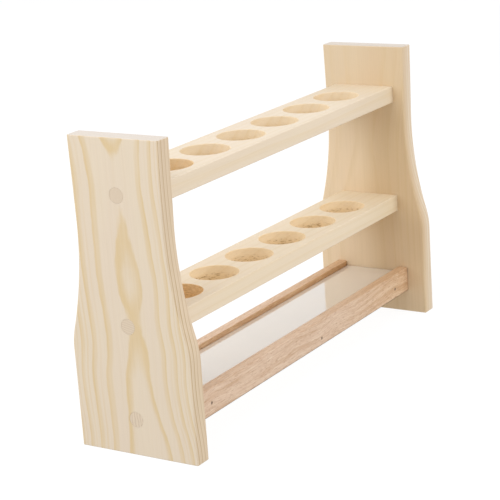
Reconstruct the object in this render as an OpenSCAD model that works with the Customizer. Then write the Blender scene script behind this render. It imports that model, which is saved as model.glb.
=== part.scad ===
// Wooden rack for paint tubes: two end boards, two shelves with holes, and a tray with a white plate.
// X runs along the rack, -Y is the front, and Z is up. The origin is the middle of the footprint.

/* [End boards] */
// Height of an end board
board_h = 200; // [190:1:220]
// Thickness of the boards and the shelves
stock_t = 12; // [12:0.5:15]
// Width of an end board at the foot
foot_w = 87; // [80:1:100]
// Width of an end board at its narrowest
neck_w = 64; // [60:1:70]
// Width of an end board at the top
top_w = 66; // [60:1:74]
// Height of the narrowest place
neck_z = 145; // [135:1:150]
// Radius of the hollow flank
waist_r = 240; // [220:5:300]
// Radius that rounds the flank into the straight foot
bend_r = 50; // [30:5:60]

/* [Shelves] */
// Clear length between the end boards
inner_l = 296; // [290:1:330]
// Depth of a shelf, front to back
shelf_d = 47; // [44:1:56]
// Height of the upper shelf's top face
upper_top = 171; // [160:1:175]
// Height of the lower shelf's top face
lower_top = 89.5; // [80:0.5:100]
// Number of holes in each shelf
hole_count = 6; // [4:1:6]
// Diameter of a hole
hole_d = 32; // [26:0.5:34]
// Distance between the centres of two holes
hole_pitch = 42.5; // [40:0.5:44]
// Chamfer on a hole's rims
hole_chamfer = 0.4; // [0.2:0.1:0.8]

/* [Tray] */
// Width of the base board
base_w = 44; // [40:1:48]
// Height of the base board's underside
base_z = 17.5; // [17:0.5:20]
// Thickness of the white plate
plate_t = 1.5; // [1:0.5:2]
// Gap all round the loose plate
plate_gap = 0.5; // [0.3:0.1:1]
// Thickness of the front and rear strips
strip_t = 7.5; // [6:0.5:9]
// Height of a strip
strip_h = 18; // [17:0.5:22]
// Height of a strip's lower edge
strip_z = 16.5; // [15:0.5:17]

/* [Plugs and screws] */
// Diameter of a wood plug
plug_d = 10; // [9:0.5:10]
// Depth of the pocket that holds a plug and a screw head
plug_depth = 5; // [4:0.5:5]
// Length of a wood screw
screw_l = 28; // [24:1:30]
// Diameter over the screw's thread
screw_d = 4; // [3.5:0.5:4]
// Distance between two turns of the screw's thread
screw_pitch = 1.8; // [1.6:0.1:2]

/* [Nails] */
// Diameter of a brad nail
nail_d = 1.4; // [1.2:0.1:1.6]
// Length of a brad nail
nail_l = 20; // [16:1:22]

/* [Hidden] */
$fn = 64;
cut = 1;                                // how far a cutting shape runs past a face

half_l = inner_l / 2;
base_top = base_z + stock_t;
strip_y = base_w / 2;                   // inner face of a strip
strip_out = strip_y + strip_t;

// Heights of the three screw lines: through the middle of each shelf and of the base board
upper_z = upper_top - stock_t / 2;
middle_z = lower_top - stock_t / 2;
lower_z = base_z + stock_t / 2;
screw_lines = [upper_z, middle_z, lower_z];

// The flank of an end board is an arc that meets the straight foot through a rounded bend
waist_y = neck_w / 2 + waist_r;         // centre of the hollow arc
bend_y = foot_w / 2 - bend_r;           // centre of the rounding arc
bend_z = neck_z - sqrt(pow(waist_r + bend_r, 2) - pow(waist_y - bend_y, 2));
bend_share = bend_r / (waist_r + bend_r);
meet_y = bend_y + (waist_y - bend_y) * bend_share;
meet_z = bend_z + (neck_z - bend_z) * bend_share;

screw_head_d = 7.6;
screw_head_h = 2.4;                     // height of the countersunk cone
screw_root_d = 2.8;
screw_shank_l = stock_t - plug_depth;   // plain length, head included, inside the end board
screw_tip_l = 4;
clearance_d = screw_d + 0.4;            // hole for the shank through an end board
recess_w = 1.1;                         // width of the cross in a screw's head
recess_depth = 1.6;

nail_head_d = 2.2;
nail_head_h = 0.8;
nail_tip_l = 2;
// Hand-driven nails: distance from the middle and height
front_nails = [[-120.5, 24.5], [17.5, 21.5], [127, 23.5]];
rear_nails = [[-124, 23], [3, 24], [121, 22.5]];

function hole_x(i) = (i - (hole_count - 1) / 2) * hole_pitch;

// Half of an end board's outline; y runs across the board and z up
module half_outline() {
    difference() {
        square([foot_w / 2, board_h]);
        // the hollow arc, below the neck only
        intersection() {
            translate([waist_y, neck_z]) circle(r = waist_r, $fn = 256);
            square([foot_w, neck_z]);
        }
        // above the neck the edge is straight and opens a little towards the top
        polygon([[neck_w / 2, neck_z], [foot_w, neck_z], [foot_w, board_h + cut],
                 [top_w / 2 + (top_w - neck_w) / 2 * cut / (board_h - neck_z), board_h + cut]]);
        // the rounded bend
        difference() {
            polygon([[bend_y, bend_z], [foot_w, bend_z], [foot_w, meet_z], [meet_y, meet_z]]);
            translate([bend_y, bend_z]) circle(r = bend_r, $fn = 128);
        }
    }
}

// Outline of an end board, as a flat plate standing on edge from x = 0 to stock_t
module end_board_blank() {
    rotate([90, 0, 90]) linear_extrude(height = stock_t) {
        half_outline();
        mirror([1, 0]) half_outline();
    }
}

// End board with its inner face at x = 0 and its outer face at x = stock_t
module end_board() {
    color("wheat") difference() {
        end_board_blank();
        for (z = screw_lines) translate([0, 0, z]) {
            translate([stock_t - plug_depth, 0, 0]) rotate([0, 90, 0])
                cylinder(d = plug_d, h = plug_depth + cut);
            translate([-cut, 0, 0]) rotate([0, 90, 0]) cylinder(d = clearance_d, h = stock_t);
            screw_seat();
        }
    }
}

// Countersink that a screw's head lies in
module screw_seat() {
    translate([stock_t - plug_depth - screw_head_h, 0, 0]) rotate([0, 90, 0])
        cylinder(d1 = clearance_d, d2 = screw_head_d, h = screw_head_h);
}

// Shelf with its top face at z, drilled for the tubes and, at both ends, for the screws
module shelf(top) {
    color("bisque") difference() {
        translate([-half_l, -shelf_d / 2, top - stock_t]) cube([inner_l, shelf_d, stock_t]);
        for (i = [0 : hole_count - 1]) translate([hole_x(i), 0, top]) tube_hole();
        pilot_holes(top - stock_t / 2);
    }
}

// One hole through a shelf whose top face is at z = 0, chamfered at both rims
module tube_hole() {
    rim_d = hole_d + 2 * hole_chamfer;
    translate([0, 0, -stock_t - cut]) cylinder(d = hole_d, h = stock_t + 2 * cut, $fn = 96);
    translate([0, 0, -hole_chamfer]) cylinder(d1 = hole_d, d2 = rim_d, h = hole_chamfer, $fn = 96);
    translate([0, 0, -stock_t]) cylinder(d1 = rim_d, d2 = hole_d, h = hole_chamfer, $fn = 96);
}

// The two pilot holes, one at each end, that a pair of screws is driven into
module pilot_holes(z) {
    depth = screw_l - screw_shank_l;
    for (side = [-1, 1]) translate([side * (half_l - depth), 0, z]) rotate([0, side * 90, 0])
        cylinder(d = screw_root_d, h = depth + cut);
}

module base_board() {
    color("bisque") difference() {
        translate([-half_l, -base_w / 2, base_z]) cube([inner_l, base_w, stock_t]);
        pilot_holes(lower_z);
        for (p = front_nails) nail_hole(p);
        mirror([0, 1, 0]) for (p = rear_nails) nail_hole(p);
    }
}

// The plate lies loose on the base board, inside the two strips
module white_plate() {
    color("white") translate([-half_l + plate_gap, -base_w / 2 + plate_gap, base_top])
        cube([inner_l - 2 * plate_gap, base_w - 2 * plate_gap, plate_t]);
}

// Front strip, nailed to the base board's front edge
module strip(nails) {
    color("rosybrown") difference() {
        translate([-half_l, -strip_out, strip_z]) cube([inner_l, strip_t, strip_h]);
        for (p = nails) nail_hole(p);
    }
}

// Space that one front nail takes: its head, flush with the strip's face, and its shank
module nail_hole(p) {
    translate([p[0], -strip_out, p[1]]) rotate([-90, 0, 0]) {
        translate([0, 0, -cut]) cylinder(d = nail_head_d, h = nail_head_h + cut, $fn = 32);
        cylinder(d = nail_d, h = nail_l, $fn = 32);
    }
}

// Brad nail in the front strip at distance p[0] and height p[1]
module nail(p) {
    r = nail_d / 2;
    color("dimgray") translate([p[0], -strip_out, p[1]]) rotate([-90, 0, 0])
        rotate_extrude($fn = 32)
            polygon([[0, 0], [nail_head_d / 2, 0], [nail_head_d / 2, nail_head_h], [r, nail_head_h],
                     [r, nail_l - nail_tip_l], [0, nail_l]]);
}

// Wood plug, flush with the outer face of an end board whose inner face is at x = 0
module plug(z) {
    color("tan") translate([stock_t - plug_depth, 0, z]) rotate([0, 90, 0])
        cylinder(d = plug_d, h = plug_depth);
}

// Half section of a screw: radius and distance from the head's face
screw_turns = floor((screw_l - screw_shank_l - screw_tip_l) / screw_pitch);
screw_section = concat(
    [[0, 0], [screw_head_d / 2, 0], [screw_d / 2, screw_head_h], [screw_d / 2, screw_shank_l]],
    [for (i = [0 : screw_turns - 1]) each screw_turn(screw_shank_l + i * screw_pitch)],
    [[screw_root_d / 2, screw_l - screw_tip_l], [0, screw_l]]);

// One turn of the thread, which rises to its crest and falls back to the root
function screw_turn(at) = [
    [screw_root_d / 2, at + screw_pitch * 0.1], [screw_root_d / 2, at + screw_pitch * 0.4],
    [screw_d / 2, at + screw_pitch * 0.7], [screw_root_d / 2, at + screw_pitch]];

// Wood screw under the plug, with its point towards the middle of the rack
module screw(z) {
    color("silver") translate([stock_t - plug_depth, 0, z]) rotate([0, -90, 0]) difference() {
        rotate_extrude($fn = 48) polygon(screw_section);
        for (turn = [0, 90]) rotate([0, 0, turn])
            translate([-screw_head_d / 4, -recess_w / 2, -cut])
                cube([screw_head_d / 2, recess_w, recess_depth + cut]);
    }
}

// Places a child that is drawn for an end board with its inner face at x = 0
module at_right() { translate([half_l, 0, 0]) children(); }
module at_left() { mirror([1, 0, 0]) at_right() children(); }
module at_rear() { mirror([0, 1, 0]) children(); }

at_left() end_board();  // left_end_board
at_right() end_board();  // right_end_board
shelf(upper_top);  // upper_shelf
shelf(lower_top);  // lower_shelf
base_board();
white_plate();
strip(front_nails);  // front_strip
at_rear() strip(rear_nails);  // rear_strip
at_left() plug(upper_z);  // left_upper_plug
at_left() plug(middle_z);  // left_middle_plug
at_left() plug(lower_z);  // left_lower_plug
at_right() plug(upper_z);  // right_upper_plug
at_right() plug(middle_z);  // right_middle_plug
at_right() plug(lower_z);  // right_lower_plug
at_left() screw(upper_z);  // left_upper_screw
at_left() screw(middle_z);  // left_middle_screw
at_left() screw(lower_z);  // left_lower_screw
at_right() screw(upper_z);  // right_upper_screw
at_right() screw(middle_z);  // right_middle_screw
at_right() screw(lower_z);  // right_lower_screw
nail(front_nails[0]);  // front_nail_1
nail(front_nails[1]);  // front_nail_2
nail(front_nails[2]);  // front_nail_3
at_rear() nail(rear_nails[0]);  // rear_nail_1
at_rear() nail(rear_nails[1]);  // rear_nail_2
at_rear() nail(rear_nails[2]);  // rear_nail_3
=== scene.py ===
"""Looks of a wooden paint rack: pine end boards and shelves, hardwood strips and a white plate."""
import bmesh
import bpy
import math
from mathutils import Matrix, Vector
from mathutils.geometry import tessellate_polygon


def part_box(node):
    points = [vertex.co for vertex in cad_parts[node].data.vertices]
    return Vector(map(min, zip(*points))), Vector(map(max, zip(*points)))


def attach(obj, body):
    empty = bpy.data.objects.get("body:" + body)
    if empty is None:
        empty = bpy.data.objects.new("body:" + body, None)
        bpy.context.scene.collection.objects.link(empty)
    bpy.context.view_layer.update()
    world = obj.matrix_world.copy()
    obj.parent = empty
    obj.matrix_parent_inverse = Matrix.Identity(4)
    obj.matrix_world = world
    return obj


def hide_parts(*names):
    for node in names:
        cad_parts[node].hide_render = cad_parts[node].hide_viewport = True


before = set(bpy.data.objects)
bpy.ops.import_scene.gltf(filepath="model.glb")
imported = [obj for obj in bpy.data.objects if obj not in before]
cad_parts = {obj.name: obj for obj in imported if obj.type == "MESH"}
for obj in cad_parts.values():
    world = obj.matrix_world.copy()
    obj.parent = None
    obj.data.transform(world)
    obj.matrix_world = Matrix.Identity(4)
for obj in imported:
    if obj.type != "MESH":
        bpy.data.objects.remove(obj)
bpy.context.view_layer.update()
MM = 0.001

# ---------------------------------------------------------------- sizes that the frame's boxes don't give
NECK_W = 64 * MM            # width of an end board at its narrowest
TOP_W = 66 * MM             # width of an end board at the top
NECK_Z = 145 * MM           # height of the narrowest place
WAIST_R = 240 * MM          # radius of the hollow flank
BEND_R = 50 * MM            # radius that rounds the flank into the foot
HOLE_COUNT = 6
HOLE_PITCH = 42.5 * MM
HOLE_R = 16 * MM
POCKET_R = 5 * MM           # pocket that holds a plug
POCKET_DEPTH = 5 * MM
SHANK_R = 2.2 * MM          # hole for a screw's shank
SINK_R = 3.8 * MM           # countersink for a screw's head, at its wide end
SINK_DEPTH = 2.4 * MM
NAIL_HEAD_R = 1.1 * MM
NAIL_HEAD_H = 0.8 * MM
NAIL_SHANK_R = 0.66 * MM
SIDES = {"left": -1, "right": 1}
LEVELS = ("upper", "middle", "lower")
STRIPS = {"front": -1, "rear": 1}
NAIL_NUMBERS = (1, 2, 3)
SHARP = math.radians(35)    # a turn between two faces that reads as an edge
SIDEWAYS = 0.6              # share of a mitre's length past which an outline's point belongs to a long side


def extent(node):
    """Size and centre of a CAD node's box."""
    low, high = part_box(node)
    return high - low, (low + high) / 2


def middle(node):
    return extent(node)[1]


# ---------------------------------------------------------------- mesh building
def quarter_round(steps):
    """(inset, depth) pairs of a quarter circle of radius 1, from a flat face to the side."""
    turns = [i / steps * math.pi / 2 for i in range(steps + 1)]
    return [(1 - math.sin(a), 1 - math.cos(a)) for a in turns]


def outward(points):
    """Outward mitre vector at each point of a counter-clockwise outline."""
    found = []
    for i, here in enumerate(points):
        before, after = points[i - 1], points[(i + 1) % len(points)]
        first = Vector((here[1] - before[1], before[0] - here[0])).normalized()
        second = Vector((after[1] - here[1], here[0] - after[0])).normalized()
        total = first + second
        found.append(total * (2 / total.length_squared))
    return found


def circle(centre, radius, count):
    turns = [i / count * math.tau for i in range(count)]
    return [(centre[0] + radius * math.cos(a), centre[1] + radius * math.sin(a)) for a in turns]


class Slab:
    """A flat plate in its own (u, v, w) space, with eased edges and holes; place() turns it into x, y, z."""

    def __init__(self, name, thickness, place):
        self.name, self.half, self.place = name, thickness / 2, place
        self.mesh = bmesh.new()

    def ring(self, points, w):
        heights = w if isinstance(w, list) else [w] * len(points)
        return [self.mesh.verts.new(self.place(u, v, h)) for (u, v), h in zip(points, heights)]

    def strip(self, ring_a, ring_b, slot):
        count = len(ring_a)
        for i in range(count):
            j = (i + 1) % count
            face = self.mesh.faces.new((ring_a[i], ring_a[j], ring_b[j], ring_b[i]))
            face.material_index = slot
            face.smooth = True

    def cap(self, rings, flats, slot=0):
        """Fills a flat region; rings[0] is its outer edge, and the others are its holes."""
        verts = [v for ring in rings for v in ring]
        outlines = [[Vector((u, v, 0)) for u, v in flat] for flat in flats]
        for corners in tessellate_polygon(outlines):
            face = self.mesh.faces.new([verts[i] for i in corners])
            face.material_index = slot
            face.smooth = True

    def edge(self, outline, radii, steps=4):
        """Side of the plate with rounded edges; returns the (ring, outline) pair of each flat face."""
        out = outward(outline)
        faces = []
        for side in (1, -1):
            chain = []
            for inset, depth in quarter_round(steps):
                points = [(p[0] - n.x * inset * r, p[1] - n.y * inset * r)
                          for p, n, r in zip(outline, out, radii)]
                heights = [side * (self.half - depth * r) for r in radii]
                chain.append((self.ring(points, heights), points))
            for (a, _), (b, _) in zip(chain, chain[1:]):
                self.strip(a, b, 0)
            faces.append(chain[0])
            if side == 1:
                rim = chain[-1][0]
        self.strip(rim, chain[-1][0], 0)
        return faces

    def close(self, faces, bores=()):
        """Fills the two flat faces around the bores; a bore is its pair of ends, None for a closed one."""
        for side, face in enumerate(faces):
            rims = [face] + [ends[side] for ends in bores if ends[side]]
            self.cap([ring for ring, _ in rims], [flat for _, flat in rims])

    def bore(self, centre, steps, count, slot, closed=False):
        """Round hole through (radius, height) steps, from the first face down; returns its two ends."""
        outlines = [circle(centre, radius, count) for radius, _ in steps]
        rings = [self.ring(points, w) for points, (_, w) in zip(outlines, steps)]
        for a, b in zip(rings, rings[1:]):
            self.strip(a, b, slot)
        if closed:
            self.cap([rings[-1]], [outlines[-1]], slot)
        return (rings[0], outlines[0]), None if closed else (rings[-1], outlines[-1])

    def finish(self, *materials):
        bmesh.ops.recalc_face_normals(self.mesh, faces=self.mesh.faces)
        return as_object(self.name, self.mesh, *materials)


def as_object(name, mesh, *materials):
    for edge in mesh.edges:
        edge.smooth = edge.calc_face_angle(0) < SHARP
    data = bpy.data.meshes.new(name)
    mesh.to_mesh(data)
    mesh.free()
    for material in materials:
        data.materials.append(material)
    piece = bpy.data.objects.new(name, data)
    bpy.context.scene.collection.objects.link(piece)
    return piece


def weighted(piece):
    """Keeps the flat faces flat while the eased edges shade smoothly."""
    change = piece.modifiers.new("weighted normals", "WEIGHTED_NORMAL")
    change.weight = 100
    change.keep_sharp = True
    return piece


def rounded_corner(centre, radius, start, steps=4):
    turns = [math.radians(start + 90 * i / steps) for i in range(steps + 1)]
    return [(centre[0] + radius * math.cos(a), centre[1] + radius * math.sin(a)) for a in turns]


def rectangle(width, height, corner):
    """Counter-clockwise rectangle about the origin with rounded corners."""
    u, v = width / 2 - corner, height / 2 - corner
    points = []
    for start, cu, cv in ((0, u, v), (90, -u, v), (180, -u, -v), (270, u, -v)):
        points += rounded_corner((cu, cv), corner, start)
    return points


# ---------------------------------------------------------------- end boards
def flank(foot_w, height, corner):
    """Right half of an end board's outline, from the foot's corner to the top's corner."""
    waist = Vector((NECK_W / 2 + WAIST_R, NECK_Z))
    bend_u = foot_w / 2 - BEND_R
    bend = Vector((bend_u, NECK_Z - math.sqrt((WAIST_R + BEND_R) ** 2 - (waist.x - bend_u) ** 2)))
    turn = math.atan2(waist.y - bend.y, waist.x - bend.x)
    points = rounded_corner((foot_w / 2 - corner, corner), corner, 270)
    points += [(bend.x + BEND_R * math.cos(a), bend.y + BEND_R * math.sin(a))
               for a in (turn * i / 8 for i in range(9))]
    points += [(waist.x - WAIST_R * math.cos(a), waist.y - WAIST_R * math.sin(a))
               for a in (turn * (1 - i / 16) for i in range(1, 17))]
    return points + rounded_corner((TOP_W / 2 - corner, height - corner), corner, 0)


def board_outline(foot_w, height, corner):
    right = flank(foot_w, height, corner)
    return right + [(-u, v) for u, v in reversed(right)]


def end_board(side):
    node = side + "_end_board"
    size, centre = extent(node)
    sign = SIDES[side]
    slab = Slab(node + "_wood", size.x, lambda u, v, w: (centre.x + sign * w, u, v))
    corner, flank_ease, end_ease, pocket_ease = 0.8 * MM, 1.2 * MM, 0.6 * MM, 0.06 * MM
    outline = board_outline(size.y, size.z, corner)
    radii = [flank_ease if abs(n.x) > SIDEWAYS * n.length else end_ease for n in outward(outline)]
    faces = slab.edge(outline, radii)
    half = size.x / 2
    floor = half - POCKET_DEPTH
    steps = [(POCKET_R + pocket_ease, half), (POCKET_R, half - pocket_ease), (POCKET_R, floor),
             (SINK_R, floor), (SHANK_R, floor - SINK_DEPTH), (SHANK_R, -half)]
    bores = [slab.bore((0, middle(f"{side}_{level}_plug").z), steps, 48, 0) for level in LEVELS]
    slab.close(faces, bores)
    return node, slab


# ---------------------------------------------------------------- shelves, base board, strips
def shelf(node):
    size, centre = extent(node)
    slab = Slab(node + "_wood", size.z, lambda u, v, w: (centre.x + u, centre.y + v, centre.z + w))
    end_ease, long_ease, rim = 0.2 * MM, 0.9 * MM, 0.5 * MM
    outline = rectangle(size.x, size.y, end_ease)
    radii = [long_ease if abs(n.y) > SIDEWAYS * n.length else end_ease for n in outward(outline)]
    faces = slab.edge(outline, radii)
    half = size.z / 2
    ease = [(HOLE_R + rim * inset, half - rim * depth) for inset, depth in quarter_round(3)]
    steps = ease + [(radius, -w) for radius, w in reversed(ease)]
    first_x = -(HOLE_COUNT - 1) / 2 * HOLE_PITCH
    bores = [slab.bore((first_x + i * HOLE_PITCH, 0), steps, 96, 1) for i in range(HOLE_COUNT)]
    slab.close(faces, bores)
    return slab


def bar(node, name, ease):
    """Plain rectangular board along X, with its long edges eased; the faces are cut across X."""
    size, centre = extent(node)
    slab = Slab(name, size.x, lambda u, v, w: (centre.x + w, centre.y + u, centre.z + v))
    outline = rectangle(size.y, size.z, ease)
    end_ease = 0.15 * MM
    slab.close(slab.edge(outline, [end_ease] * len(outline), steps=2))
    return slab


def strip_with_nails(node, name, nails, front):
    """Strip whose outer face has a small sunk hole over each nail; front is -1 or 1 along Y."""
    size, centre = extent(node)
    slab = Slab(name, size.y, lambda u, v, w: (centre.x + u, centre.y + front * w, centre.z + v))
    corner, long_ease, hole_ease = 0.3 * MM, 0.6 * MM, 0.05 * MM
    outline = rectangle(size.x, size.z, corner)
    faces = slab.edge(outline, [long_ease] * len(outline))
    half = size.y / 2
    steps = [(NAIL_HEAD_R + hole_ease, half), (NAIL_HEAD_R, half - hole_ease),
             (NAIL_HEAD_R, half - NAIL_HEAD_H)]
    bores = []
    for nail_node in nails:
        offset = middle(nail_node) - centre
        bores.append(slab.bore((offset.x, offset.z), steps, 24, 0, closed=True))
    slab.close(faces, bores)
    return slab


# ---------------------------------------------------------------- turned pieces
def turned(name, profile, place, count=48):
    """Closed piece turned about w from (radius, w) points that start and end on the axis."""
    mesh = bmesh.new()
    ends = [mesh.verts.new(place(0, 0, profile[0][1])), mesh.verts.new(place(0, 0, profile[-1][1]))]
    rings = [[mesh.verts.new(place(u, v, w)) for u, v in circle((0, 0), r, count)]
             for r, w in profile[1:-1]]
    for i in range(count):
        j = (i + 1) % count
        mesh.faces.new((ends[0], rings[0][i], rings[0][j]))
        mesh.faces.new((ends[1], rings[-1][j], rings[-1][i]))
        for a, b in zip(rings, rings[1:]):
            mesh.faces.new((a[i], a[j], b[j], b[i]))
    bmesh.ops.recalc_face_normals(mesh, faces=mesh.faces)
    for face in mesh.faces:
        face.smooth = True
    return name, mesh


def plug(side, level):
    """Wood plug that fills a pocket, eased at its rim and a hair below the board's face."""
    node = f"{side}_{level}_plug"
    low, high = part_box(node)
    at = middle(node)
    sign = SIDES[side]
    face = abs(high.x if sign > 0 else low.x)
    gap, sunk, ease, lift = 0.05 * MM, 0.02 * MM, 0.12 * MM, 0.1 * MM
    radius, top = POCKET_R - gap, face - sunk
    bottom = face - POCKET_DEPTH + lift
    profile = [(0, bottom), (radius, bottom), (radius, top - ease),
               (radius - ease * 0.3, top - ease * 0.3), (radius - ease, top),
               (radius * 0.5, top), (0, top)]
    return turned(node + "_wood", profile, lambda u, v, w: (sign * w, at.y + u, at.z + v))


def nail(node, front):
    """Brad nail with a slightly domed head just below the strip's face, and a tapered point."""
    size, at = extent(node)
    low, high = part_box(node)
    face = high.y if front > 0 else -low.y
    point = face - size.y
    top = face - 0.04 * MM
    head_r = NAIL_HEAD_R - 0.05 * MM
    profile = [(0, point + 0.2 * MM), (0.1 * MM, point + 0.3 * MM),
               (NAIL_SHANK_R, point + 2 * MM), (NAIL_SHANK_R, top - 0.7 * MM),
               (head_r, top - 0.45 * MM), (head_r, top - 0.15 * MM),
               (NAIL_HEAD_R * 0.7, top - 0.04 * MM), (0, top)]
    return turned(node + "_steel", profile, lambda u, v, w: (at.x + u, front * w, at.z + v), count=24)


# ---------------------------------------------------------------- shader building
class Shade:
    """A material with short calls for the nodes that it uses. Lengths in it are millimetres."""

    def __init__(self, name):
        self.material = bpy.data.materials.new(name)
        self.material.use_nodes = True
        self.tree = self.material.node_tree
        self.out = next(n for n in self.tree.nodes if n.type == "BSDF_PRINCIPLED")
        self.place = self.tree.nodes.new("ShaderNodeTexCoord")
        split = self.tree.nodes.new("ShaderNodeSeparateXYZ")
        self.tree.links.new(self.place.outputs["Object"], split.inputs[0])
        self.x, self.y, self.z = (self.math("MULTIPLY", split.outputs[i], 1 / MM) for i in range(3))

    def put(self, socket, value):
        if isinstance(value, bpy.types.NodeSocket):
            self.tree.links.new(value, socket)
        elif isinstance(value, tuple) and len(value) == 3 and socket.type == "RGBA":
            socket.default_value = (*value, 1)
        else:
            socket.default_value = value

    def math(self, operation, a, b=0.0, clamp=False):
        node = self.tree.nodes.new("ShaderNodeMath")
        node.operation = operation
        node.use_clamp = clamp
        self.put(node.inputs[0], a)
        self.put(node.inputs[1], b)
        return node.outputs[0]

    def add(self, *terms):
        total = terms[0]
        for term in terms[1:]:
            total = self.math("ADD", total, term)
        return total

    def times(self, a, b):
        return self.math("MULTIPLY", a, b)

    def vector(self, x, y, z):
        node = self.tree.nodes.new("ShaderNodeCombineXYZ")
        for socket, value in zip(node.inputs, (x, y, z)):
            self.put(socket, value)
        return node.outputs[0]

    def noise(self, where, detail=2.0, roughness=0.5, distortion=0.0):
        """Noise between about -0.5 and 0.5 at a vector whose unit is one feature."""
        node = self.tree.nodes.new("ShaderNodeTexNoise")
        self.put(node.inputs["Vector"], where)
        node.inputs["Scale"].default_value = 1.0
        node.inputs["Detail"].default_value = detail
        node.inputs["Roughness"].default_value = roughness
        node.inputs["Distortion"].default_value = distortion
        return self.math("SUBTRACT", node.outputs["Fac"], 0.5)

    def smooth(self, value, low, high, to_low=0.0, to_high=1.0):
        node = self.tree.nodes.new("ShaderNodeMapRange")
        node.interpolation_type = "SMOOTHSTEP"
        for name, setting in (("Value", value), ("From Min", low), ("From Max", high),
                              ("To Min", to_low), ("To Max", to_high)):
            self.put(node.inputs[name], setting)
        return node.outputs[0]

    def facing(self, axis):
        """1 where the surface faces along the axis (0, 1, 2), either way, and 0 where it doesn't."""
        geometry = self.tree.nodes.new("ShaderNodeNewGeometry")
        split = self.tree.nodes.new("ShaderNodeSeparateXYZ")
        self.tree.links.new(geometry.outputs["True Normal"], split.inputs[0])
        return self.smooth(self.math("ABSOLUTE", split.outputs[axis]), 0.5, 0.9)

    def curve(self, value, span, points, low, high):
        """Smooth curve through given (place, value) points; place runs over span, values low to high."""
        node = self.tree.nodes.new("ShaderNodeFloatCurve")
        line = node.mapping.curves[0]
        scaled = [((at - span[0]) / (span[1] - span[0]), (v - low) / (high - low)) for at, v in points]
        line.points[0].location, line.points[1].location = scaled[0], scaled[-1]
        for at in scaled[1:-1]:
            line.points.new(*at)
        node.mapping.update()
        self.put(node.inputs["Value"], self.math("DIVIDE", self.math("SUBTRACT", value, span[0]),
                                                 span[1] - span[0], clamp=True))
        return self.add(self.times(node.outputs[0], high - low), low)

    def mix(self, factor, a, b, blend="MIX"):
        node = self.tree.nodes.new("ShaderNodeMix")
        node.data_type = "RGBA"
        node.blend_type = blend
        self.put(node.inputs["Factor"], factor)
        self.put(node.inputs[6], a)
        self.put(node.inputs[7], b)
        return node.outputs[2]

    def tint(self, colour, tone, where=None):
        """The colour multiplied by a tone, all over or only as far as a mask says."""
        toned = self.mix(1.0, colour, tone, "MULTIPLY")
        return toned if where is None else self.mix(where, colour, toned)

    def bump(self, height, distance):
        """Bump whose full height is a distance in millimetres."""
        node = self.tree.nodes.new("ShaderNodeBump")
        self.put(node.inputs["Height"], height)
        node.inputs["Distance"].default_value = distance * MM
        self.tree.links.new(node.outputs[0], self.out.inputs["Normal"])

    def colour(self):
        """The colour that the shader has so far."""
        return self.out.inputs["Base Color"].links[0].from_socket

    def recolour(self, colour):
        self.put(self.out.inputs["Base Color"], colour)

    def finish(self, colour, roughness, **settings):
        self.recolour(colour)
        self.put(self.out.inputs["Roughness"], roughness)
        for name, value in settings.items():
            self.put(self.out.inputs[name.replace("_", " ")], value)
        return self.material


RING_W = 3.3                # width of a yearly ring across the board's thickness
ARCH = 408.0                # how quickly the rings spread sideways: twice the pith's depth times RING_W


def latewood(s, rings, rise=0.55):
    """Darker part of each yearly ring: it comes on slowly and ends more sharply."""
    part = s.math("FRACT", rings)
    climb = s.times(s.smooth(part, rise, s.add(rise, 0.20)), 0.62)
    crest = s.smooth(part, 0.74, 0.93, 0.0, 0.45)
    return s.times(s.add(climb, crest), s.smooth(part, 0.93, 1.0, 1.0, 0.0))


def false_ring(s, rings):
    """Thin weak line halfway through a ring."""
    part = s.math("FRACT", rings)
    return s.times(s.smooth(part, 0.22, 0.36), s.smooth(part, 0.37, 0.44, 1.0, 0.0))


# Pale early wood and darker late wood of the shelves, of the boards' outer faces and of their inner faces.
EARLY, EARLY_LOW = (0.81, 0.69, 0.54), (0.83, 0.705, 0.535)
LATE = (0.755, 0.595, 0.37)
EARLY_OUT, LATE_OUT = (0.790, 0.664, 0.508), (0.737, 0.562, 0.328)
EARLY_LEFT, LATE_LEFT = (0.790, 0.655, 0.495), (0.737, 0.560, 0.325)
EARLY_RIGHT, LATE_RIGHT = (0.77, 0.612, 0.413), (0.70, 0.53, 0.30)


def pine_finish(s, band, along, across, through, early, late, strength=1.0):
    """Colours, fibres, bump and sheen that every pine piece shares."""
    patch_at = s.vector(s.times(along, 0.015), s.times(across, 0.08), s.times(through, 0.08))
    patch = s.noise(patch_at, 1.0)
    amount = s.times(band, s.times(s.add(0.95, s.times(patch, 0.9)), strength))
    streak_at = s.vector(s.times(along, 0.008), s.times(across, 0.45), s.times(through, 0.45))
    streak = s.noise(streak_at, 2.0, 0.6)
    amount = s.add(amount, s.times(streak, 0.55))
    amount = s.math("MAXIMUM", s.math("MINIMUM", amount, 1.25), -0.15)
    fibre_at = s.vector(s.times(along, 0.035), s.times(across, 1.5), s.times(through, 1.5))
    fibre = s.noise(fibre_at, 3.0, 0.6)
    blush_at = s.vector(s.times(along, 0.011), s.times(across, 0.045), s.times(through, 0.045))
    blush = s.smooth(s.noise(blush_at, 1.0), -0.12, 0.18, 0.0, 0.5)
    pinkish, resin_fleck = (0.985, 0.97, 1.0), (0.55, 0.38, 0.22)
    colour = s.mix(s.math("MAXIMUM", amount, 0.0), s.tint(early, pinkish, blush), late)
    shade = s.add(1.0, s.times(fibre, 0.10), s.times(streak, -0.03))
    colour = s.tint(colour, s.vector(shade, shade, shade))
    fleck_at = s.vector(s.times(along, 0.16), s.times(across, 2.6), s.times(through, 2.6))
    fleck = s.smooth(s.noise(fleck_at, 1.0), 0.20, 0.30)
    colour = s.mix(s.times(fleck, 0.12), colour, resin_fleck)
    s.bump(s.add(s.times(fibre, 0.7), s.times(amount, 0.3)), 0.04)
    return s.finish(colour, s.add(0.55, s.times(fibre, 0.12)), Specular_IOR_Level=0.3)


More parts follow.
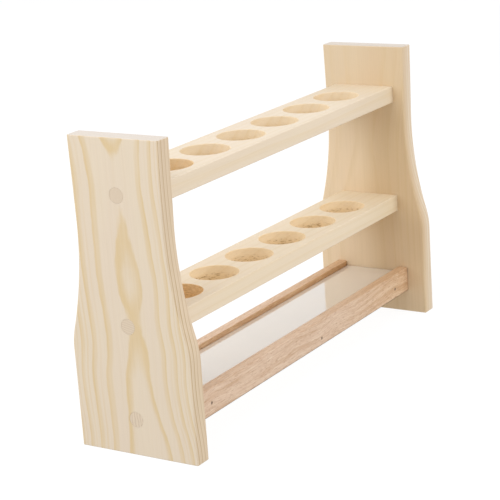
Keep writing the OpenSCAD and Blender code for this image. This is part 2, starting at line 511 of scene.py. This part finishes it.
def end_grain(s, across, through):
    """Sawn ends: paler and greyer, with fine pores instead of long fibres."""
    pore = s.noise(s.vector(s.times(across, 2.2), s.times(through, 2.2), 0.0), 2.0, 0.6)
    grey, pale = (0.65, 0.595, 0.555), (0.72, 0.67, 0.635)
    sawn = s.mix(s.smooth(pore, -0.3, 0.3), grey, pale)
    s.recolour(s.mix(s.times(s.facing(2), 0.7), s.colour(), sawn))


def pine_board(name, outer_x, sign, centre_points, level_points, early, late, strength, side_tint,
               line_tint, heart_and_shadow=None):
    """Flat-sawn board on end: nested arches of the rings on its face, and fine lines on its edges.

    strength is the contrast of the rings on the outer and on the inner face. side_tint and line_tint are
    the tones of the wood and of its rings on the narrow faces. The last tint, when given, tints the inner
    face
    in front of the middle and below the top: partly a darker heartwood tone, partly a painted shadow of the
    upper shelf. The rest of that face then gets painted light and shade, a little lighter low down and
    darker near the top."""
    s = Shade(name)
    across = s.times(s.y, -1.0)
    along = s.z
    inward = s.math("SUBTRACT", outer_x / MM * sign, s.times(s.x, sign))
    wander_at = s.vector(s.times(along, 0.02), s.times(across, 0.05), s.times(inward, 0.05))
    ripple_at = s.vector(s.times(along, 0.09), s.times(across, 0.22), s.times(inward, 0.22))
    centre = s.curve(along, (0, 200), centre_points, -20.0, 60.0)
    level = s.curve(along, (0, 200), level_points, -2.0, 2.0)
    aside = s.math("SUBTRACT", across, centre)
    aside = s.add(aside, s.math("MINIMUM", s.times(s.math("ABSOLUTE", aside), 0.1), 2.0))
    rear = s.math("MAXIMUM", s.math("SUBTRACT", s.times(aside, -1.0), 20.0), 0.0)
    far = s.math("SUBTRACT", s.math("ABSOLUTE", aside), s.times(rear, 0.27))
    rings = s.add(s.times(s.times(far, far), 1 / ARCH), level, s.times(inward, 1 / RING_W), 4.0)
    rings = s.add(rings, s.times(s.noise(wander_at, 1.0), 0.14), s.times(s.noise(ripple_at, 2.0), 0.10))
    band = latewood(s, rings, s.smooth(far, 8.0, 17.0, 0.71, 0.50))
    band = s.add(band, s.times(false_ring(s, rings), s.smooth(far, 20.0, 30.0, 0.0, 0.5)))
    band = s.times(band, s.smooth(inward, 3.0, 11.0, *strength))
    deep = s.smooth(inward, 3.0, 11.0)
    early = s.mix(deep, EARLY_OUT, early)
    late = s.mix(deep, LATE_OUT, late)
    late = s.tint(late, line_tint, s.facing(1))
    early = s.tint(early, side_tint, s.facing(1))
    if heart_and_shadow:
        # Partly a darker heartwood tone, partly a painted shadow of the upper shelf: the inner face in front
        # of the middle and below the top.
        heart_and_shadow_reach = s.times(s.smooth(across, -9.0, 13.0), s.smooth(along, 180.0, 140.0, 0.5, 1.0))
        heart_and_shadow_reach = s.times(s.times(heart_and_shadow_reach, deep), s.smooth(along, 5.0, 70.0, 0.55, 1.0))
        early = s.tint(early, heart_and_shadow, heart_and_shadow_reach)
        late = s.tint(late, heart_and_shadow, heart_and_shadow_reach)
        # Painted light and shade on the rest of the inner face: a little lighter low down and darker near
        # the top.
        rest = s.times(s.math("SUBTRACT", 1.0, heart_and_shadow_reach), deep)
        tone = s.smooth(along, 110.0, 165.0, 1.065, 0.95)
        early = s.tint(early, s.vector(tone, tone, tone), rest)
    material = pine_finish(s, band, along, across, inward, early, late)
    end_grain(s, across, inward)
    return material


def pine_rail(name, node, tilt, early, strength=0.3, drilled=False, tearing=0.0,
              wall_tint=None, left_board_shadow_tint=None):
    """Straight-grained board along X, warmer on its planed sides, with painted shade of the right board that
    makes it darker and warmer towards its right end.

    A drilled wall has rough end grain, torn more towards its lower edge, and painted shade that makes it
    darker and warmer towards that edge; the first hole has a painted shadow of the left board, a darker
    orange tone with brown flecks."""
    s = Shade(name)
    bore_painted_shade_tint, torn_brown = (0.97, 0.90, 0.76), (0.44, 0.25, 0.09)
    right_end_painted_shade, side_tint = (0.94, 0.925, 0.88), (0.98, 0.965, 0.935)
    wander = s.noise(s.vector(s.times(s.x, 0.006), s.times(s.y, 0.03), s.times(s.z, 0.03)), 1.0)
    slope = s.add(s.times(s.y, math.cos(tilt)), s.times(s.z, math.sin(tilt)))
    rings = s.add(s.math("DIVIDE", slope, 5.0), s.times(wander, 1.2), 40.0)
    material = pine_finish(s, latewood(s, rings), s.x, s.y, s.z, early, LATE, strength)
    colour = s.colour()
    if drilled:
        rough_at = s.vector(s.times(s.x, 0.32), s.times(s.y, 0.32), s.times(s.z, 1.2))
        rough = s.noise(rough_at, 3.0, 0.7)
        low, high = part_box(node)
        depth = s.smooth(s.z, high.z / MM - 3.0, low.z / MM + 3.0)
        # Painted shade: the wall grows darker and warmer towards the bore's lower edge.
        colour = s.tint(s.tint(colour, wall_tint), bore_painted_shade_tint, s.times(depth, 0.8))
        # Painted shadow of the left board on the first hole: a darker orange tone.
        left_board_shadow = s.smooth(s.x, -82.0, -98.0)
        colour = s.tint(colour, left_board_shadow_tint, left_board_shadow)
        torn = s.times(s.smooth(rough, 0.02, 0.15), s.smooth(depth, 0.1, 0.6, 0.1, 1.0))
        # The painted shadow on the first hole also gets brown flecks.
        torn = s.math("MAXIMUM", torn, s.times(left_board_shadow, s.smooth(rough, -0.12, 0.12, 0.0, 0.75)))
        colour = s.mix(s.times(torn, tearing), colour, torn_brown)
        s.bump(s.math("SUBTRACT", 0.0, torn), 0.15 * tearing)
    else:
        # Painted shade of the right board: darker and warmer towards the shelf's right end.
        colour = s.tint(colour, right_end_painted_shade, s.smooth(s.x, 60.0, 140.0))
        colour = s.tint(colour, side_tint, s.facing(1))
    s.recolour(colour)
    return material


def hardwood(name):
    """Pinkish-tan strip wood with many short dark pores and faint ribbons along X."""
    s = Shade(name)
    lift = s.times(s.noise(s.vector(s.times(s.x, 0.02), 3.0, 0.0), 1.0), 9.0)
    across = s.add(s.z, lift)
    ribbon = s.noise(s.vector(s.times(s.x, 0.012), s.times(s.y, 0.35), s.times(across, 0.35)), 2.0, 0.6)
    fibre = s.noise(s.vector(s.times(s.x, 0.09), s.times(s.y, 1.5), s.times(across, 1.5)), 3.0, 0.65)
    pore_at = s.vector(s.times(s.x, 0.2), s.times(s.y, 1.7), s.times(across, 1.7))
    pore = s.smooth(s.noise(pore_at, 3.0, 0.7), 0.03, 0.19)
    pink, tan, pale = (0.73, 0.53, 0.385), (0.62, 0.41, 0.265), (0.84, 0.68, 0.52)
    pore_brown, pale_top_tone = (0.42, 0.22, 0.11), (0.80, 0.61, 0.47)
    colour = s.mix(s.smooth(ribbon, -0.15, 0.15), pink, tan)
    colour = s.mix(s.smooth(fibre, -0.05, 0.25, 0.0, 0.8), colour, pale)
    colour = s.mix(s.times(pore, 0.65), colour, pore_brown)
    # Paler on the top and bottom faces.
    colour = s.mix(s.times(s.facing(2), 0.3), colour, pale_top_tone)
    # Painted shade of the right board: the top faces darker towards the right end.
    top_right_painted_shade = s.times(s.facing(2), s.smooth(s.x, -20.0, 120.0))
    colour = s.tint(colour, (0.90, 0.86, 0.81), top_right_painted_shade)
    # Painted shade on the rear strip's inner face: darker and browner, where the front strip and the lower
    # shelf keep light off.
    rear_inner_painted_shade = s.times(s.facing(1), s.times(s.smooth(s.y, 15.0, 20.0), s.smooth(s.y, 27.0, 24.0)))
    colour = s.tint(colour, (0.84, 0.76, 0.62), rear_inner_painted_shade)
    # Painted shade of the right board: every face darker and warmer towards the right end.
    colour = s.tint(colour, (0.95, 0.87, 0.71), s.smooth(s.x, 20.0, 150.0, 0.0, 0.8))
    s.bump(s.math("SUBTRACT", s.times(fibre, 0.5), pore), 0.08)
    return s.finish(colour, 0.55, Specular_IOR_Level=0.3)


def plug_wood(name, slope, tint):
    """Plug cut from another piece: greyer, with its own grain direction."""
    s = Shade(name)
    across = s.add(s.times(s.y, math.cos(slope)), s.times(s.z, math.sin(slope)))
    along = s.add(s.times(s.z, math.cos(slope)), s.times(s.y, -math.sin(slope)))
    bow = s.times(s.times(along, along), 0.012)
    wander = s.noise(s.vector(s.times(along, 0.2), s.times(across, 0.3), 0.0), 1.0)
    rings = s.add(s.math("DIVIDE", s.add(across, bow), 2.3), s.times(wander, 0.8), 30.0)
    band = latewood(s, rings, 0.45)
    fibre = s.noise(s.vector(s.times(along, 0.3), s.times(across, 2.5), s.x), 2.0)
    early, late = (0.77, 0.655, 0.51), (0.655, 0.53, 0.40)
    s.bump(fibre, 0.04)
    return s.finish(s.tint(s.mix(band, early, late), tint), 0.6, Specular_IOR_Level=0.3)


def plate_white(name):
    """Glazed white plate: strong clear reflections at a low angle, and a trace of haze."""
    s = Shade(name)
    haze = s.noise(s.vector(s.times(s.x, 0.02), s.times(s.y, 0.02), s.times(s.z, 0.02)), 2.0)
    wave = s.noise(s.vector(s.times(s.x, 0.012), s.times(s.y, 0.02), 0.0), 1.0)
    warm_white, cool_white = (0.735, 0.665, 0.585), (0.715, 0.655, 0.585)
    colour = s.mix(s.smooth(haze, -0.25, 0.25), warm_white, cool_white)
    s.bump(wave, 0.03)
    return s.finish(colour, s.add(0.06, s.times(haze, 0.04)), IOR=1.6, Coat_Weight=1.0, Coat_IOR=1.8,
                    Coat_Roughness=0.02)


def steel(name, colour, roughness):
    """Steel with fine turning marks and a little tarnish."""
    s = Shade(name)
    marks = s.noise(s.vector(s.times(s.x, 3.0), s.times(s.y, 3.0), s.times(s.z, 3.0)), 2.0)
    dull = tuple(c * 0.6 for c in colour)
    mixed = s.mix(s.smooth(marks, -0.2, 0.3), colour, dull)
    s.bump(marks, 0.02)
    return s.finish(mixed, s.add(roughness, s.times(marks, 0.2)), Metallic=1.0)


# ---------------------------------------------------------------- assembly
def add_piece(piece, body, node):
    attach(piece, body)
    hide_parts(node)
    return piece


def build_end_boards():
    left = pine_board(
        "pine left board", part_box("left_end_board")[0].x, -1,
        [(0, 10.5), (10, 10), (30, 7), (50, 5.5), (70, 6.5), (90, 5), (110, 4.7), (130, 3.2),
         (150, 2.3), (170, 1.5), (200, 0.3)],
        [(0, -0.68), (10, -0.59), (30, -0.36), (50, -0.26), (70, -0.16), (87, -0.09), (110, -0.21),
         (130, -0.14), (150, -0.045), (158, 0.0), (170, 0.07), (184, 0.0), (192, -0.07), (200, -0.23)],
        EARLY_LEFT, LATE_LEFT, (0.92, 0.45), (0.93, 0.90, 0.85), (0.70, 0.63, 0.57))
    # The right board's last tint is partly a darker heartwood tone and partly a painted shadow of the upper
    # shelf on its inner face.
    right = pine_board(
        "pine right board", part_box("right_end_board")[1].x, 1,
        [(0, -3), (60, -6), (120, -2), (200, 4)],
        [(0, -0.30), (40, -0.62), (75, -0.40), (110, 0.02), (135, 0.16), (160, -0.10), (200, -0.45)],
        EARLY_RIGHT, LATE_RIGHT, (0.9, 0.28), (0.96, 0.96, 0.99), (0.88, 0.86, 0.86),
        (0.89, 0.83, 0.74))
    for side, material in (("left", left), ("right", right)):
        node, slab = end_board(side)
        add_piece(weighted(slab.finish(material)), "rack", node)


def build_shelves():
    # Each look ends with the wall tint, then the painted shadow of the left board on the first hole.
    looks = (("upper_shelf", 0.5, EARLY, 0.25, (1.00, 0.95, 0.84), (0.95, 0.83, 0.62)),
             ("lower_shelf", 0.9, EARLY_LOW, 0.85, (1.05, 0.98, 0.84), (0.94, 0.74, 0.46)))
    for node, tilt, early, tearing, wall_tint, left_board_shadow_tint in looks:
        face = pine_rail("pine " + node, node, tilt, early)
        wall = pine_rail("drilled pine " + node, node, tilt, early, drilled=True, tearing=tearing,
                         wall_tint=wall_tint, left_board_shadow_tint=left_board_shadow_tint)
        add_piece(weighted(shelf(node).finish(face, wall)), "rack", node)
    base_wood = pine_rail("pine base", "base_board", 1.2, EARLY)
    base = bar("base_board", "base_board_wood", 0.4 * MM).finish(base_wood)
    add_piece(weighted(base), "rack", "base_board")


def build_tray():
    wood = hardwood("hardwood")
    for side, front in STRIPS.items():
        nails = [f"{side}_nail_{i}" for i in NAIL_NUMBERS]
        slab = strip_with_nails(side + "_strip", side + "_strip_wood", nails, front)
        add_piece(weighted(slab.finish(wood)), "rack", side + "_strip")
    plate = bar("white_plate", "plate_gloss", 0.3 * MM).finish(plate_white("plate white"))
    add_piece(weighted(plate), "plate", "white_plate")


def build_fixings():
    plug_tints = {"left": (0.98, 0.95, 0.92), "right": (0.96, 0.90, 0.80)}
    slopes = {"left_upper": 0.35, "left_middle": 0.1, "left_lower": -0.5,
              "right_upper": -0.2, "right_middle": 0.6, "right_lower": 0.25}
    screw_steel = steel("screw steel", (0.62, 0.60, 0.56), 0.35)
    nail_steel = steel("nail steel", (0.30, 0.22, 0.16), 0.5)
    for key, slope in slopes.items():
        side, level = key.split("_")
        name, mesh = plug(side, level)
        piece = as_object(name, mesh, plug_wood("plug " + key, slope, plug_tints[side]))
        add_piece(weighted(piece), "rack", key + "_plug")
        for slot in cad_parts[key + "_screw"].material_slots:
            slot.material = screw_steel
    for side, front in STRIPS.items():
        for i in NAIL_NUMBERS:
            node = f"{side}_nail_{i}"
            name, mesh = nail(node, front)
            add_piece(weighted(as_object(name, mesh, nail_steel)), "rack", node)


# ---------------------------------------------------------------- stage, light and camera
WORLD_LIGHT, FLOOR_LIGHT = 0.63, 0.52   # strengths as light on matt surfaces
FLOOR_SEEN = 0.92                       # the floor's strength when it is seen or mirrored
LIT_POINT = (0, 0, 0.1)                 # middle of the rack, where the lamps point
CAMERA_AT = Vector((-0.93247, -0.59333, 0.40723))
AZIMUTH, ELEVATION, ROLL = math.radians(-56.97), math.radians(16.14), math.radians(-3.967)
LENS = 122.53


def build_camera():
    data = bpy.data.cameras.new("camera")
    data.lens = LENS
    data.sensor_width = 36
    data.clip_end = 50
    camera = bpy.data.objects.new("camera", data)
    back = Vector((math.sin(AZIMUTH) * math.cos(ELEVATION), -math.cos(AZIMUTH) * math.cos(ELEVATION),
                   math.sin(ELEVATION)))
    right = Vector((0, 0, 1)).cross(back).normalized()
    up = back.cross(right)
    turned_right = right * math.cos(ROLL) + up * math.sin(ROLL)
    turned_up = up * math.cos(ROLL) - right * math.sin(ROLL)
    camera.matrix_world = Matrix.Translation(CAMERA_AT) @ Matrix(
        (turned_right, turned_up, back)).transposed().to_4x4()
    bpy.context.scene.collection.objects.link(camera)
    bpy.context.scene.camera = camera


def on_diffuse(tree, indirect, direct):
    """A strength that is `indirect` as light on matt surfaces, and `direct` when seen or mirrored."""
    seen = tree.nodes.new("ShaderNodeLightPath")
    pick = tree.nodes.new("ShaderNodeMapRange")
    pick.inputs["To Min"].default_value = direct
    pick.inputs["To Max"].default_value = indirect
    tree.links.new(seen.outputs["Is Diffuse Ray"], pick.inputs["Value"])
    return pick.outputs[0]


def build_floor():
    """White floor: bright in itself with a faint soft shadow, and weaker as a light on the object."""
    bpy.ops.mesh.primitive_plane_add(size=30)
    floor = bpy.context.object
    floor.name = "floor"
    material = bpy.data.materials.new("floor white")
    material.use_nodes = True
    tree = material.node_tree
    shader = tree.nodes["Principled BSDF"]
    shader.inputs["Base Color"].default_value = (0.12, 0.12, 0.12, 1)
    shader.inputs["Roughness"].default_value = 1.0
    shader.inputs["Specular IOR Level"].default_value = 0.0
    shader.inputs["Emission Color"].default_value = (1, 1, 1, 1)
    tree.links.new(on_diffuse(tree, FLOOR_LIGHT, FLOOR_SEEN), shader.inputs["Emission Strength"])
    floor.data.materials.append(material)


def area_light(name, at, width, height, power, colour=(1, 1, 1)):
    data = bpy.data.lights.new(name, "AREA")
    data.shape = "RECTANGLE"
    data.size = width
    data.size_y = height
    data.energy = power
    data.color = colour
    light = bpy.data.objects.new(name, data)
    turn = (Vector(at) - Vector(LIT_POINT)).to_track_quat("Z", "Y")
    light.matrix_world = Matrix.Translation(Vector(at)) @ turn.to_matrix().to_4x4()
    bpy.context.scene.collection.objects.link(light)


def build_light():
    world = bpy.data.worlds.new("studio")
    bpy.context.scene.world = world
    world.use_nodes = True
    background = world.node_tree.nodes["Background"]
    background.inputs["Color"].default_value = (1, 1, 1, 1)
    strength = on_diffuse(world.node_tree, WORLD_LIGHT, 1.0)
    world.node_tree.links.new(strength, background.inputs["Strength"])
    area_light("key", (-0.95, 0.35, 1.1), 1.4, 1.4, 11, (0.97, 1.0, 1.04))
    area_light("rear", (-0.1, 1.5, 0.8), 1.6, 1.0, 6)
    area_light("front fill", (0.3, -1.5, 0.75), 1.4, 0.9, 11)
    bpy.context.scene.view_settings.view_transform = "Standard"


build_camera()
build_floor()
build_light()
build_end_boards()
build_shelves()
build_tray()
build_fixings()
